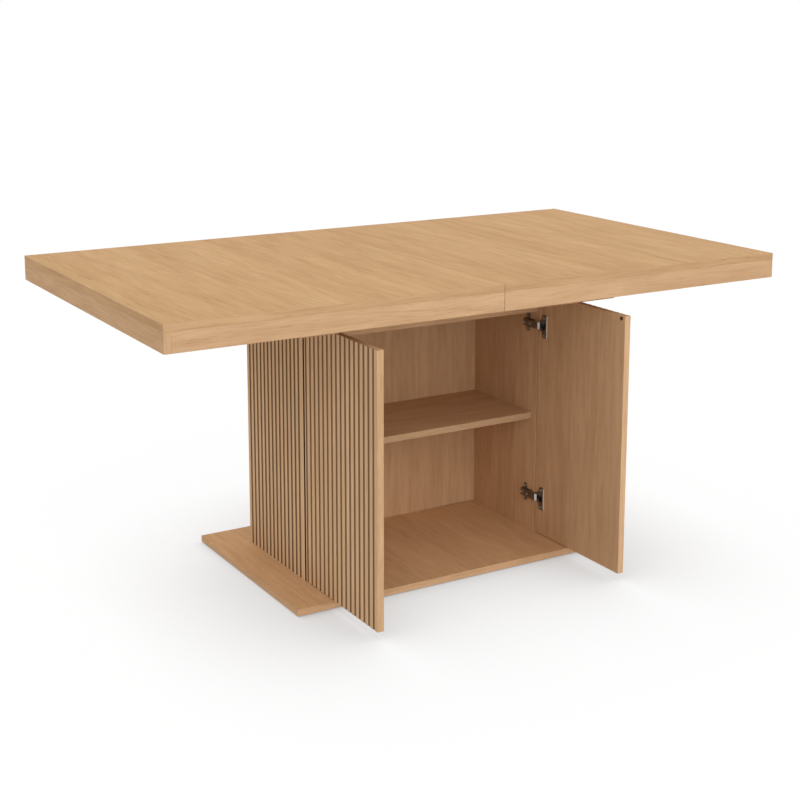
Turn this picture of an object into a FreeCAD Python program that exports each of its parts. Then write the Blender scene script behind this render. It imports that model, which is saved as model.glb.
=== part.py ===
import FreeCAD, Part
import math
import os

from FreeCAD import Vector

# Kitchen table on a two-door storage cabinet, with a top that parts in the middle. Millimetres.
# The origin is on the floor under the middle of the table. +X runs along the table, +Z is up,
# and the doors are on the -Y side. The doors are drawn open by a right angle, the top closed.

# Whole table
TABLE_LENGTH = 1600.0
TABLE_WIDTH = 900.0
TABLE_HEIGHT = 750.0
EDGE_HEIGHT = 60.0
BOARD = 16.0
SEAM_GAP = 1.0
TOP_TRAVEL = 200.0
CUT_OVERRUN = 2.0

# Base plate and its glides
BASE_LENGTH = 858.0
BASE_DEPTH = 545.0
GLIDE_HEIGHT = 2.0
GLIDE_DIAMETER = 22.0
GLIDE_INSET = 45.0
GLIDE_ROW_COUNT = 3
NAIL_DIAMETER = 2.5
NAIL_LENGTH = 10.0

# Cabinet
CABINET_WIDTH = 676.0
CABINET_DEPTH = 303.0
CABINET_FORWARD = 131.0
BACK_INSET = 8.0
RAIL_BOARD_HEIGHT = 53.0
FLUTE_WIDTH = 8.0
FLUTE_DEPTH = 1.2
FLUTE_PITCH = 20.6
DOOR_HINGE_FLUTE_INSET = 8.5
DOOR_FREE_FLUTE_INSET = 17.3
SIDE_FRONT_FLUTE_INSET = 22.6
SIDE_REAR_FLUTE_INSET = 17.0
BACK_FLUTE_INSET = 16.0

# Shelf and its supports
SHELF_BELOW_MIDDLE = 3.5
SHELF_SETBACK = 19.0
SHELF_SIDE_GAP = 0.8
SHELF_BACK_GAP = 1.0
SUPPORT_INSET = 35.0
SUPPORT_PIN_DIAMETER = 5.0
SUPPORT_PIN_DEPTH = 8.0
SUPPORT_PAD_REACH = 9.0
SUPPORT_PAD_WIDTH = 10.0
SUPPORT_PAD_HEIGHT = 8.0

# Plate between the cabinet and the top
PLATE_LENGTH = 856.0
PLATE_DEPTH = 600.0
APRON_CLEARANCE = 25.0

# Cabinet screws and dowels
CABINET_SCREW_DIAMETER = 5.0
CABINET_SCREW_LENGTH = 46.0
CABINET_SCREW_HEAD_DIAMETER = 9.0
CABINET_SCREW_HEAD_HEIGHT = 4.0
CABINET_SCREW_INSET = 32.0
SIDE_SCREW_COUNT = 3
BACK_SCREW_OFFSET = 160.0
DOWEL_DIAMETER = 8.0
DOWEL_LENGTH = 30.0
DOWEL_SHALLOW_DEPTH = 10.0
BACK_DOWEL_INSET = 80.0
BACK_DOWEL_COUNT = 3
RAIL_DOWEL_INSET = 14.0
RAIL_DOWEL_COUNT = 2

# Doors
DOOR_FLOOR_GAP = 2.0
DOOR_HEAD_GAP = 2.0
DOOR_EDGE_INSET = 0.5
DOOR_MEETING_GAP = 3.0
DOOR_SWING_CLEARANCE = 2.7

# Concealed hinges, measured from the door's hinge edge and from its inner face
HINGE_FROM_BOTTOM = 95.0
HINGE_FROM_TOP = 84.0
PIVOT_FROM_EDGE = 8.0
PIVOT_FROM_FACE = 8.0
HINGE_PIN_DIAMETER = 2.5
HINGE_PIN_LENGTH = 18.0
RUNNING_CLEARANCE = 0.05
EYE_DIAMETER = 5.6
LINK_WIDTH = 12.0
LINK_THICKNESS = 4.0
ARM_WIDTH = 17.0
ARM_HEIGHT = 9.0
ARM_WALL = 1.6
ARM_REACH_BACK = 45.0
ARM_SIDE_CLEARANCE = 0.4
CUP_DIAMETER = 35.0
CUP_EDGE_DISTANCE = 2.0
CUP_FLOOR = 0.7
CUP_RIM_HEIGHT = 0.8
CUP_POCKET_SPARE = 6.0
ARM_ROOM_SPARE = 2.0
FLANGE_HEIGHT = 58.0
FLANGE_WIDTH = 18.0
FLANGE_THICKNESS = 3.6
FLANGE_CORNER_RADIUS = 3.0
FLANGE_SCREW_SPACING = 45.0
HINGE_PLATE_THICKNESS = 2.5
HINGE_PLATE_SETBACK = 8.0
HINGE_PLATE_LENGTH = 42.0
HINGE_PLATE_HEIGHT = 20.0
WING_SETBACK = 37.0
WING_WIDTH = 12.0
WING_HEIGHT = 46.0
WING_CORNER_RADIUS = 5.0
WING_SCREW_SPACING = 32.0
HINGE_SCREW_DIAMETER = 3.5
HINGE_SCREW_LENGTH = 12.0
HINGE_SCREW_HEAD_DIAMETER = 7.0
HINGE_SCREW_HEAD_HEIGHT = 1.5
ARM_SCREW_DIAMETER = 4.0
ARM_SCREW_HEAD_DIAMETER = 7.5
ARM_SCREW_HEAD_HEIGHT = 2.0
FRONT_ARM_SCREW_SETBACK = 16.0
REAR_ARM_SCREW_SETBACK = 39.0

# Push latches and the strikes on the doors
STRIKE_DIAMETER = 9.5
STRIKE_THICKNESS = 1.0
STRIKE_FROM_EDGE = 13.0
STRIKE_FROM_TOP = 7.0
LATCH_FLANGE_DIAMETER = 14.0
LATCH_FLANGE_THICKNESS = 1.0
LATCH_BODY_DIAMETER = 10.0
LATCH_BODY_LENGTH = 40.0
LATCH_END_WALL = 2.0
PLUNGER_DIAMETER = 6.0
PLUNGER_LENGTH = 37.0
PLUNGER_STRIKE_GAP = 0.1

# Edge frame of the top
CORNER_BLOCK_LEG = 60.0
CORNER_BLOCK_HEIGHT = 30.0
APRON_DOWEL_LENGTH = 26.0
APRON_DOWEL_INSET = 100.0
APRON_DOWEL_COUNT = 3
SEAM_DOWEL_SPACING = 300.0
SEAM_DOWEL_COUNT = 3
SEAM_DOWEL_REACH = 12.0
SEAM_BORE_SPARE = 2.0

# Slides of the top, measured from each unit's own middle line
SLIDE_OFFSET = 262.0
SLIDE_RAIL_LENGTH = 800.0
SLIDE_RAIL_WALL = 2.0
CHANNEL_WIDTH = 56.0
SLIDE_GAP = 0.2
LIP_GAP = 0.6
RUNNER_FOOT_HEIGHT = 14.0
RUNNER_WALL = 4.0
RUNNER_FLANGE_WIDTH = 24.0
RUNNER_FLANGE_THICKNESS = 4.0
RUNNER_END_GAP = 84.0
RUNNER_SEAM_GAP = 30.0
RUNNER_SCREW_INSET = 30.0
RUNNER_SCREW_COUNT = 5
RAIL_SCREW_INSET = 40.0
RAIL_SCREW_COUNT = 3
PINION_SCREW_GAP = 60.0
SLIDE_SCREW_DIAMETER = 4.0
SLIDE_SCREW_LENGTH = 14.0
SLIDE_SCREW_HEAD_DIAMETER = 8.0
SLIDE_SCREW_HEAD_HEIGHT = 2.5

# Racks and pinions
GEAR_MODULE = 1.5
PINION_TOOTH_COUNT = 18
PRESSURE_ANGLE = math.radians(20.0)
GEAR_BACKLASH = 0.2
ADDENDUM_SHARE = 0.95
DEDENDUM_SHARE = 1.25
FLANK_POINT_COUNT = 4
PINION_THICKNESS = 8.0
PINION_PIN_DIAMETER = 6.0
PINION_PIN_HEAD_DIAMETER = 12.0
PINION_PIN_HEAD_HEIGHT = 2.0
PINION_BOSS_HEIGHT = 2.0
RACK_BACKING = 4.0
RACK_HEIGHT = 10.0
RACK_LIFT = 1.0
RACK_SPARE = 25.0

# Stored extension leaf
LEAF_SLIDE_GAP = 7.0
LEAF_FOLD_GAP = 2.0
PAD_SIZE = 40.0
PAD_THICKNESS = 2.0
PAD_INSET = 50.0
LEAF_HINGE_LENGTH = 60.0
LEAF_HINGE_WIDTH = 20.0
LEAF_HINGE_PLAY = 0.2
LEAF_HINGE_INSET = 60.0
LEAF_HINGE_COUNT = 3
LEAF_BARREL_DIAMETER = 5.0
LEAF_PIN_DIAMETER = 2.5
LEAF_KNUCKLE_COUNT = 3

# Levels, from the floor up
BASE_TOP = GLIDE_HEIGHT + BOARD
TOP_UNDERSIDE = TABLE_HEIGHT - BOARD
APRON_BOTTOM = TABLE_HEIGHT - EDGE_HEIGHT
PLATE_TOP = APRON_BOTTOM - APRON_CLEARANCE
PLATE_BOTTOM = PLATE_TOP - BOARD
RAIL_BOARD_BOTTOM = PLATE_BOTTOM - RAIL_BOARD_HEIGHT
SHELF_TOP = (BASE_TOP + PLATE_BOTTOM) / 2 - SHELF_BELOW_MIDDLE
SHELF_BOTTOM = SHELF_TOP - BOARD
DOOR_BOTTOM = BASE_TOP + DOOR_FLOOR_GAP
DOOR_TOP = PLATE_BOTTOM - DOOR_HEAD_GAP
HINGE_LEVELS = (DOOR_BOTTOM + HINGE_FROM_BOTTOM, DOOR_TOP - HINGE_FROM_TOP)
LATCH_LEVEL = DOOR_TOP - STRIKE_FROM_TOP

# Cabinet faces
SIDE_OUTER = CABINET_WIDTH / 2
SIDE_INNER = SIDE_OUTER - BOARD
SIDE_MIDDLE = SIDE_OUTER - BOARD / 2
FRONT_Y = -CABINET_FORWARD
REAR_Y = FRONT_Y + CABINET_DEPTH
BACK_OUTER = REAR_Y - BACK_INSET
BACK_INNER = BACK_OUTER - BOARD
BACK_MIDDLE = BACK_OUTER - BOARD / 2
RAIL_MIDDLE = FRONT_Y + BOARD / 2

# Doors in the open pose: the pivot clears the swing of the door's inner corner
DOOR_WIDTH = SIDE_OUTER - DOOR_EDGE_INSET - DOOR_MEETING_GAP / 2
DOOR_HALF_CLOSED_START = SIDE_OUTER - DOOR_EDGE_INSET
DOOR_BACK_GAP = math.hypot(PIVOT_FROM_EDGE, PIVOT_FROM_FACE) + DOOR_SWING_CLEARANCE - PIVOT_FROM_FACE
PIVOT_X = -(DOOR_HALF_CLOSED_START - PIVOT_FROM_EDGE)
PIVOT_Y = FRONT_Y - DOOR_BACK_GAP - PIVOT_FROM_FACE
DOOR_INNER_X = PIVOT_X + PIVOT_FROM_FACE
DOOR_EDGE_Y = PIVOT_Y + PIVOT_FROM_EDGE

# Hinge cup, sized around the arm's swing
EYE_RADIUS = EYE_DIAMETER / 2
ARM_INNER_X = -SIDE_INNER + HINGE_PLATE_THICKNESS
ARM_OUTER_X = ARM_INNER_X + ARM_HEIGHT
ARM_ROOF_X = ARM_OUTER_X - ARM_WALL
ARM_HOLLOW_WIDTH = ARM_WIDTH - ARM_WALL - ARM_WALL
ARM_REACH = ARM_OUTER_X - PIVOT_X
POCKET_START = PIVOT_FROM_EDGE - EYE_RADIUS - ARM_SIDE_CLEARANCE
POCKET_END = PIVOT_FROM_EDGE + ARM_REACH + CUP_POCKET_SPARE
POCKET_DEPTH = PIVOT_FROM_FACE + EYE_RADIUS + ARM_SIDE_CLEARANCE
ARM_NEAREST = ARM_INNER_X - PIVOT_X
ARM_ENTRY = math.sqrt(ARM_NEAREST**2 - PIVOT_FROM_FACE**2)
ARM_ROOM_START = PIVOT_FROM_EDGE + ARM_ENTRY - ARM_ROOM_SPARE
LINK_ROOM_WIDTH = LINK_WIDTH + ARM_SIDE_CLEARANCE + ARM_SIDE_CLEARANCE
ARM_ROOM_WIDTH = ARM_WIDTH + ARM_SIDE_CLEARANCE + ARM_SIDE_CLEARANCE
CUP_DEPTH = POCKET_DEPTH + CUP_FLOOR
CUP_CENTRE = CUP_EDGE_DISTANCE + CUP_DIAMETER / 2
FLANGE_SCREW_LINE = CUP_CENTRE + CUP_DIAMETER / 2 - FLANGE_WIDTH / 2

# Slide unit levels and offsets
RAIL_FLOOR = PLATE_TOP + SLIDE_RAIL_WALL
FOOT_BOTTOM = RAIL_FLOOR + SLIDE_GAP
FOOT_TOP = FOOT_BOTTOM + RUNNER_FOOT_HEIGHT
LIP_BOTTOM = FOOT_TOP + SLIDE_GAP
LIP_TOP = LIP_BOTTOM + SLIDE_RAIL_WALL
RUNNER_FLANGE_BOTTOM = TOP_UNDERSIDE - RUNNER_FLANGE_THICKNESS
PITCH_RADIUS = GEAR_MODULE * PINION_TOOTH_COUNT / 2
GEAR_PITCH = math.pi * GEAR_MODULE
ADDENDUM = ADDENDUM_SHARE * GEAR_MODULE
DEDENDUM = DEDENDUM_SHARE * GEAR_MODULE
TOOTH_THICKNESS = GEAR_PITCH / 2 - GEAR_BACKLASH / 2
RACK_BACK = PITCH_RADIUS + DEDENDUM + RACK_BACKING
CHANNEL_HALF = CHANNEL_WIDTH / 2
RUNNER_INNER_END = TOP_TRAVEL + RACK_SPARE
RUNNER_OUTER_END = TABLE_LENGTH / 2 - BOARD - RUNNER_END_GAP
FRONT_SLIDE_Y = -SLIDE_OFFSET
PINION_BOTTOM = RAIL_FLOOR + PINION_BOSS_HEIGHT + SLIDE_GAP
PINION_TOP = PINION_BOTTOM + PINION_THICKNESS

# Stored leaf, folded between the two slides
LEAF_HALF_DEPTH = SLIDE_OFFSET - CHANNEL_HALF - SLIDE_RAIL_WALL - LEAF_SLIDE_GAP
LEAF_LOW = PLATE_TOP + PAD_THICKNESS
LEAF_FOLD_LOW = LEAF_LOW + BOARD
LEAF_FOLD_HIGH = LEAF_FOLD_LOW + LEAF_FOLD_GAP
LEAF_HIGH = LEAF_FOLD_HIGH + BOARD

X_AXIS = Vector(1, 0, 0)
Y_AXIS = Vector(0, 1, 0)
Z_AXIS = Vector(0, 0, 1)
ORIGIN = Vector(0, 0, 0)

parts = {}


def block(x, y, z):
    """Box between the two ends given for each axis, in either order."""
    low = Vector(min(x), min(y), min(z))
    return Part.makeBox(max(x) - low.x, max(y) - low.y, max(z) - low.z, low)


def rod(diameter, start, end):
    """Round bar from one point to another."""
    along = end - start
    return Part.makeCylinder(diameter / 2, along.Length, start, along)


def prism(points, bottom, top):
    """Upright solid on a flat outline of (x, y) points."""
    corners = [Vector(x, y, bottom) for x, y in points]
    outline = Part.makePolygon(corners + corners[:1])
    return Part.Face(outline).extrude(Z_AXIS * (top - bottom))


def joined(*shapes):
    """One solid made of shapes that touch or overlap."""
    return shapes[0].fuse(list(shapes[1:])).removeSplitter().Solids[0]


def without(shape, tools):
    """The solid that is left when every tool has been cut away."""
    return shape.cut(Part.makeCompound(tools)).Solids[0] if tools else shape


def mirror_x(shape):
    return shape.mirror(ORIGIN, X_AXIS)


def mirror_y(shape):
    return shape.mirror(ORIGIN, Y_AXIS)


def both_sides(shapes):
    """The shapes and their mirror images on the other side of the table's middle."""
    shapes = list(shapes)
    return shapes + [mirror_x(shape) for shape in shapes]


def front_and_back(shapes):
    """The shapes and their mirror images across the table's length."""
    shapes = list(shapes)
    return shapes + [mirror_y(shape) for shape in shapes]


def spread(start, end, count):
    """Evenly spaced places from start to end, both included."""
    return [start + (end - start) * index / (count - 1) for index in range(count)]


def flute_places(first, last):
    """Middles of the grooves from the first to the last, at whole steps of about the named pitch."""
    steps = max(1, round((last - first) / FLUTE_PITCH))
    return spread(first, last, steps + 1)


def around(middle, size):
    return (middle - size / 2, middle + size / 2)


def screw_hole(seat, inward, diameter, length, head_diameter, head_height):
    """Room for a screw: the shaft runs inward from its seat, the head stands outward."""
    shaft = rod(diameter, seat, seat + inward * length)
    head = rod(head_diameter, seat, seat - inward * head_height)
    return joined(shaft, head)


def screw(seat, inward, diameter, length, head_diameter, head_height):
    """Screw with a hexagonal socket half as wide and half as deep as its head."""
    body = screw_hole(seat, inward, diameter, length, head_diameter, head_height)
    face = seat - inward * head_height
    across = Z_AXIS.cross(inward)
    if across.Length == 0:
        across = X_AXIS
    first = face + across * (head_diameter / 4)
    corners = []
    for turn in range(6):
        turned = FreeCAD.Rotation(inward, 60.0 * turn)
        corners.append(face + turned.multVec(first - face))
    socket = Part.Face(Part.makePolygon(corners + corners[:1])).extrude(inward * (head_height / 2))
    return body.cut(socket).Solids[0]


# Floor glides and base plate

base_x = (-BASE_LENGTH / 2, BASE_LENGTH / 2)
base_y = (-BASE_DEPTH / 2, BASE_DEPTH / 2)
glides = []
nail_holes = []
for glide_x in spread(base_x[0] + GLIDE_INSET, base_x[1] - GLIDE_INSET, GLIDE_ROW_COUNT):
    for glide_y in spread(base_y[0] + GLIDE_INSET, base_y[1] - GLIDE_INSET, GLIDE_ROW_COUNT):
        foot = Vector(glide_x, glide_y, 0)
        seat = foot + Z_AXIS * GLIDE_HEIGHT
        nail = rod(NAIL_DIAMETER, seat, seat + Z_AXIS * NAIL_LENGTH)
        glides.append(joined(rod(GLIDE_DIAMETER, foot, seat), nail))
        nail_holes.append(nail)
parts["floor_glides"] = glides

cabinet_screw_size = (
    CABINET_SCREW_DIAMETER,
    CABINET_SCREW_LENGTH,
    CABINET_SCREW_HEAD_DIAMETER,
    CABINET_SCREW_HEAD_HEIGHT,
)
side_screw_ys = spread(
    FRONT_Y + CABINET_SCREW_INSET, REAR_Y - CABINET_SCREW_INSET, SIDE_SCREW_COUNT
)
screw_places = [(-SIDE_MIDDLE, y) for y in side_screw_ys]
screw_places += [(SIDE_MIDDLE, y) for y in side_screw_ys]
screw_places += [(-BACK_SCREW_OFFSET, BACK_MIDDLE), (BACK_SCREW_OFFSET, BACK_MIDDLE)]
rail_screw_places = [(-BACK_SCREW_OFFSET, RAIL_MIDDLE), (BACK_SCREW_OFFSET, RAIL_MIDDLE)]

base_seats = [Vector(x, y, GLIDE_HEIGHT + CABINET_SCREW_HEAD_HEIGHT) for x, y in screw_places]
plate_seats = [
    Vector(x, y, PLATE_TOP - CABINET_SCREW_HEAD_HEIGHT) for x, y in screw_places + rail_screw_places
]
base_screw_holes = [screw_hole(seat, Z_AXIS, *cabinet_screw_size) for seat in base_seats]
plate_screw_holes = [screw_hole(seat, -Z_AXIS, *cabinet_screw_size) for seat in plate_seats]
cabinet_screw_holes = base_screw_holes + plate_screw_holes
parts["base_screws"] = [screw(seat, Z_AXIS, *cabinet_screw_size) for seat in base_seats]
parts["top_plate_screws"] = [screw(seat, -Z_AXIS, *cabinet_screw_size) for seat in plate_seats]

base_plate = block(base_x, base_y, (GLIDE_HEIGHT, BASE_TOP))
parts["base_plate"] = [without(base_plate, nail_holes + base_screw_holes)]

# Dowels that hold the front rail and the back panel between the sides

dowel_ends = (-SIDE_INNER - DOWEL_SHALLOW_DEPTH, -SIDE_INNER - DOWEL_SHALLOW_DEPTH + DOWEL_LENGTH)
dowel_places = [
    (RAIL_MIDDLE, level)
    for level in spread(
        RAIL_BOARD_BOTTOM + RAIL_DOWEL_INSET, PLATE_BOTTOM - RAIL_DOWEL_INSET, RAIL_DOWEL_COUNT
    )
]
dowel_places += [
    (BACK_MIDDLE, level)
    for level in spread(
        BASE_TOP + BACK_DOWEL_INSET, PLATE_BOTTOM - BACK_DOWEL_INSET, BACK_DOWEL_COUNT
    )
]
dowels = both_sides(
    rod(DOWEL_DIAMETER, Vector(dowel_ends[0], y, z), Vector(dowel_ends[1], y, z)) for y, z in dowel_places
)
parts["panel_dowels"] = dowels

# Shelf and its supports

support_ys = (
    FRONT_Y + SHELF_SETBACK + SUPPORT_INSET,
    BACK_INNER - SHELF_BACK_GAP - SUPPORT_INSET,
)
support_level = SHELF_BOTTOM - SUPPORT_PAD_HEIGHT / 2
support_pins = []
shelf_supports = []
for support_y in support_ys:
    pin_mouth = Vector(-SIDE_INNER, support_y, support_level)
    support_pin = rod(SUPPORT_PIN_DIAMETER, pin_mouth - X_AXIS * SUPPORT_PIN_DEPTH, pin_mouth)
    support_pad = block(
        (-SIDE_INNER, -SIDE_INNER + SUPPORT_PAD_REACH),
        around(support_y, SUPPORT_PAD_WIDTH),
        (SHELF_BOTTOM - SUPPORT_PAD_HEIGHT, SHELF_BOTTOM),
    )
    support_pins.append(support_pin)
    shelf_supports.append(joined(support_pad, support_pin))
support_pins = both_sides(support_pins)
parts["shelf_supports"] = both_sides(shelf_supports)
parts["shelf"] = [
    block(
        (-SIDE_INNER + SHELF_SIDE_GAP, SIDE_INNER - SHELF_SIDE_GAP),
        (FRONT_Y + SHELF_SETBACK, BACK_INNER - SHELF_BACK_GAP),
        (SHELF_BOTTOM, SHELF_TOP),
    )
]

# Concealed hinges of the left door, and the screws that hold them

hinge_screw_size = (
    HINGE_SCREW_DIAMETER,
    HINGE_SCREW_LENGTH,
    HINGE_SCREW_HEAD_DIAMETER,
    HINGE_SCREW_HEAD_HEIGHT,
)
arm_screw_size = (
    ARM_SCREW_DIAMETER,
    ARM_HEIGHT + HINGE_PLATE_THICKNESS,
    ARM_SCREW_HEAD_DIAMETER,
    ARM_SCREW_HEAD_HEIGHT,
)


def door_point(from_edge, from_face, level):
    """A point of the open left door, from its hinge edge and into its inner face."""
    return Vector(DOOR_INNER_X - from_face, DOOR_EDGE_Y - from_edge, level)


def door_block(from_edge, from_face, levels):
    low = door_point(from_edge[0], from_face[0], levels[0])
    high = door_point(from_edge[1], from_face[1], levels[1])
    return block((low.x, high.x), (low.y, high.y), (low.z, high.z))


def rounded(plate, radius):
    """Plate with the corners of its outline rounded; its thickness runs along X."""
    thickness = plate.BoundBox.XLength
    corners = [edge for edge in plate.Edges if edge.BoundBox.XLength > thickness / 2]
    return plate.makeFillet(radius, corners)


def hinge_cup(level):
    """Cup with a flange across it, and a stepped pocket for the swing of the link and the arm."""
    bowl = rod(
        CUP_DIAMETER,
        door_point(CUP_CENTRE, -CUP_RIM_HEIGHT, level),
        door_point(CUP_CENTRE, CUP_DEPTH, level),
    )
    flange = door_block(
        around(FLANGE_SCREW_LINE, FLANGE_WIDTH), (-FLANGE_THICKNESS, 0), around(level, FLANGE_HEIGHT)
    )
    depths = (-FLANGE_THICKNESS - CUT_OVERRUN, POCKET_DEPTH)
    link_room = door_block((POCKET_START, POCKET_END), depths, around(level, LINK_ROOM_WIDTH))
    arm_room = door_block((ARM_ROOM_START, POCKET_END), depths, around(level, ARM_ROOM_WIDTH))
    whole = joined(bowl, rounded(flange, FLANGE_CORNER_RADIUS))
    return without(whole, [joined(link_room, arm_room)])


def hinge_pin(level):
    middle = Vector(PIVOT_X, PIVOT_Y, level)
    half = Z_AXIS * (HINGE_PIN_LENGTH / 2)
    return rod(HINGE_PIN_DIAMETER, middle - half, middle + half)


def hinge_arm(level):
    """Cranked arm: an eye round the pin, a link out of the cup and a channel along the cabinet's side."""
    half = Z_AXIS * (LINK_WIDTH / 2)
    middle = Vector(PIVOT_X, PIVOT_Y, level)
    eye = rod(EYE_DIAMETER, middle - half, middle + half)
    link_y = around(PIVOT_Y, LINK_THICKNESS)
    rear = FRONT_Y + ARM_REACH_BACK
    link = block((PIVOT_X, ARM_OUTER_X), link_y, around(level, LINK_WIDTH))
    body = block((ARM_INNER_X, ARM_OUTER_X), (link_y[0], rear), around(level, ARM_WIDTH))
    hollow = block(
        (ARM_INNER_X - CUT_OVERRUN, ARM_ROOF_X),
        (link_y[1], rear + CUT_OVERRUN),
        around(level, ARM_HOLLOW_WIDTH),
    )
    hole = rod(HINGE_PIN_DIAMETER + RUNNING_CLEARANCE + RUNNING_CLEARANCE, middle - half, middle + half)
    return without(joined(eye, link, body), [hollow, hole])


def hinge_plate(level):
    """Cross-shaped plate on the side's inner face, with a ridge that the arm's channel sits on."""
    x = (-SIDE_INNER, ARM_INNER_X)
    plate_front = FRONT_Y + HINGE_PLATE_SETBACK
    bar = block(x, (plate_front, plate_front + HINGE_PLATE_LENGTH), around(level, HINGE_PLATE_HEIGHT))
    wings = block(x, around(FRONT_Y + WING_SETBACK, WING_WIDTH), around(level, WING_HEIGHT))
    ridge = block(
        (-SIDE_INNER, ARM_ROOF_X),
        (plate_front, FRONT_Y + ARM_REACH_BACK),
        around(level, ARM_HOLLOW_WIDTH - ARM_SIDE_CLEARANCE - ARM_SIDE_CLEARANCE),
    )
    return joined(rounded(bar, FLANGE_CORNER_RADIUS), rounded(wings, WING_CORNER_RADIUS), ridge)


cups = []
hinge_pins = []
hinge_arms = []
hinge_plates = []
cup_screws = []
cup_screw_holes = []
plate_screws = []
hinge_plate_screw_holes = []
arm_screws = []
for hinge_level in HINGE_LEVELS:
    hinge_pins.append(hinge_pin(hinge_level))
    cups.append(hinge_cup(hinge_level))
    for screw_level in around(hinge_level, FLANGE_SCREW_SPACING):
        cup_seat = door_point(FLANGE_SCREW_LINE, -FLANGE_THICKNESS, screw_level)
        cup_screws.append(screw(cup_seat, -X_AXIS, *hinge_screw_size))
        cup_screw_holes.append(screw_hole(cup_seat, -X_AXIS, *hinge_screw_size))
    for screw_level in around(hinge_level, WING_SCREW_SPACING):
        wing_seat = Vector(ARM_INNER_X, FRONT_Y + WING_SETBACK, screw_level)
        plate_screws.append(screw(wing_seat, -X_AXIS, *hinge_screw_size))
        hinge_plate_screw_holes.append(screw_hole(wing_seat, -X_AXIS, *hinge_screw_size))
    arm_holes = []
    for setback in (FRONT_ARM_SCREW_SETBACK, REAR_ARM_SCREW_SETBACK):
        arm_seat = Vector(ARM_OUTER_X, FRONT_Y + setback, hinge_level)
        arm_screws.append(screw(arm_seat, -X_AXIS, *arm_screw_size))
        arm_holes.append(screw_hole(arm_seat, -X_AXIS, *arm_screw_size))
    hinge_arms.append(without(hinge_arm(hinge_level), arm_holes))
    hinge_plates.append(without(hinge_plate(hinge_level), arm_holes))
cup_room = [
    rod(CUP_DIAMETER, door_point(CUP_CENTRE, 0, level), door_point(CUP_CENTRE, CUP_DEPTH, level))
    for level in HINGE_LEVELS
]
hinge_plates = [without(plate, hinge_plate_screw_holes) for plate in hinge_plates]
cups = [without(cup, cup_screw_holes + hinge_pins) for cup in cups]
parts["hinge_plates"] = both_sides(hinge_plates)
parts["hinge_arms"] = both_sides(hinge_arms)
parts["hinge_plate_screws"] = both_sides(plate_screws)
parts["hinge_arm_screws"] = both_sides(arm_screws)

# Doors

left_door = door_block((0, DOOR_WIDTH), (0, BOARD), (DOOR_BOTTOM, DOOR_TOP))
door_flutes = [
    door_block(
        around(place, FLUTE_WIDTH),
        (BOARD - FLUTE_DEPTH, BOARD + CUT_OVERRUN),
        (DOOR_BOTTOM - CUT_OVERRUN, DOOR_TOP + CUT_OVERRUN),
    )
    for place in flute_places(DOOR_HINGE_FLUTE_INSET, DOOR_WIDTH - DOOR_FREE_FLUTE_INSET)
]
strike_line = DOOR_WIDTH - STRIKE_FROM_EDGE
left_strike = rod(
    STRIKE_DIAMETER,
    door_point(strike_line, 0, LATCH_LEVEL),
    door_point(strike_line, -STRIKE_THICKNESS, LATCH_LEVEL),
)
left_door = without(left_door, door_flutes + cup_room + cup_screw_holes)
left_door_pieces = {
    "door_panel": [left_door],
    "hinge_cups": cups,
    "hinge_pins": hinge_pins,
    "cup_screws": cup_screws,
    "strike": [left_strike],
}
for name, solids in left_door_pieces.items():
    parts["left_" + name] = solids
    parts["right_" + name] = [mirror_x(solid) for solid in solids]

# Push latches in the front rail: the plungers are drawn pushed in

latch_x = -(DOOR_MEETING_GAP / 2 + STRIKE_FROM_EDGE)


def latch_point(y):
    return Vector(latch_x, y, LATCH_LEVEL)


latch_front = FRONT_Y - LATCH_FLANGE_THICKNESS
latch_rear = FRONT_Y + LATCH_BODY_LENGTH
strike_face = FRONT_Y - DOOR_BACK_GAP + STRIKE_THICKNESS
plunger_tip = strike_face + PLUNGER_STRIKE_GAP
latch_body = rod(LATCH_BODY_DIAMETER, latch_point(FRONT_Y), latch_point(latch_rear))
latch_flange = rod(LATCH_FLANGE_DIAMETER, latch_point(latch_front), latch_point(FRONT_Y))
plunger_bore = rod(
    PLUNGER_DIAMETER + RUNNING_CLEARANCE + RUNNING_CLEARANCE,
    latch_point(latch_front - CUT_OVERRUN),
    latch_point(latch_rear - LATCH_END_WALL),
)
latch_housing = without(joined(latch_body, latch_flange), [plunger_bore])
plunger = rod(PLUNGER_DIAMETER, latch_point(plunger_tip), latch_point(plunger_tip + PLUNGER_LENGTH))
parts["latch_housings"] = both_sides([latch_housing])
parts["left_plunger"] = [plunger]
parts["right_plunger"] = [mirror_x(plunger)]

# Side panels, back panel and front rail

left_side = block((-SIDE_OUTER, -SIDE_INNER), (FRONT_Y, REAR_Y), (BASE_TOP, PLATE_BOTTOM))
side_flutes = [
    block(
        (-SIDE_OUTER - CUT_OVERRUN, -SIDE_OUTER + FLUTE_DEPTH),
        around(place, FLUTE_WIDTH),
        (BASE_TOP - CUT_OVERRUN, PLATE_BOTTOM + CUT_OVERRUN),
    )
    for place in flute_places(FRONT_Y + SIDE_FRONT_FLUTE_INSET, REAR_Y - SIDE_REAR_FLUTE_INSET)
]
side_holes = cabinet_screw_holes + dowels + support_pins + hinge_plate_screw_holes
left_side = without(left_side, side_flutes + side_holes)
parts["left_side_panel"] = [left_side]
parts["right_side_panel"] = [mirror_x(left_side)]

back_panel = block((-SIDE_INNER, SIDE_INNER), (BACK_INNER, BACK_OUTER), (BASE_TOP, PLATE_BOTTOM))
back_flutes = [
    block(
        around(place, FLUTE_WIDTH),
        (BACK_OUTER - FLUTE_DEPTH, BACK_OUTER + CUT_OVERRUN),
        (BASE_TOP - CUT_OVERRUN, PLATE_BOTTOM + CUT_OVERRUN),
    )
    for place in flute_places(-SIDE_INNER + BACK_FLUTE_INSET, SIDE_INNER - BACK_FLUTE_INSET)
]
parts["back_panel"] = [without(back_panel, back_flutes + dowels + cabinet_screw_holes)]

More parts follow.
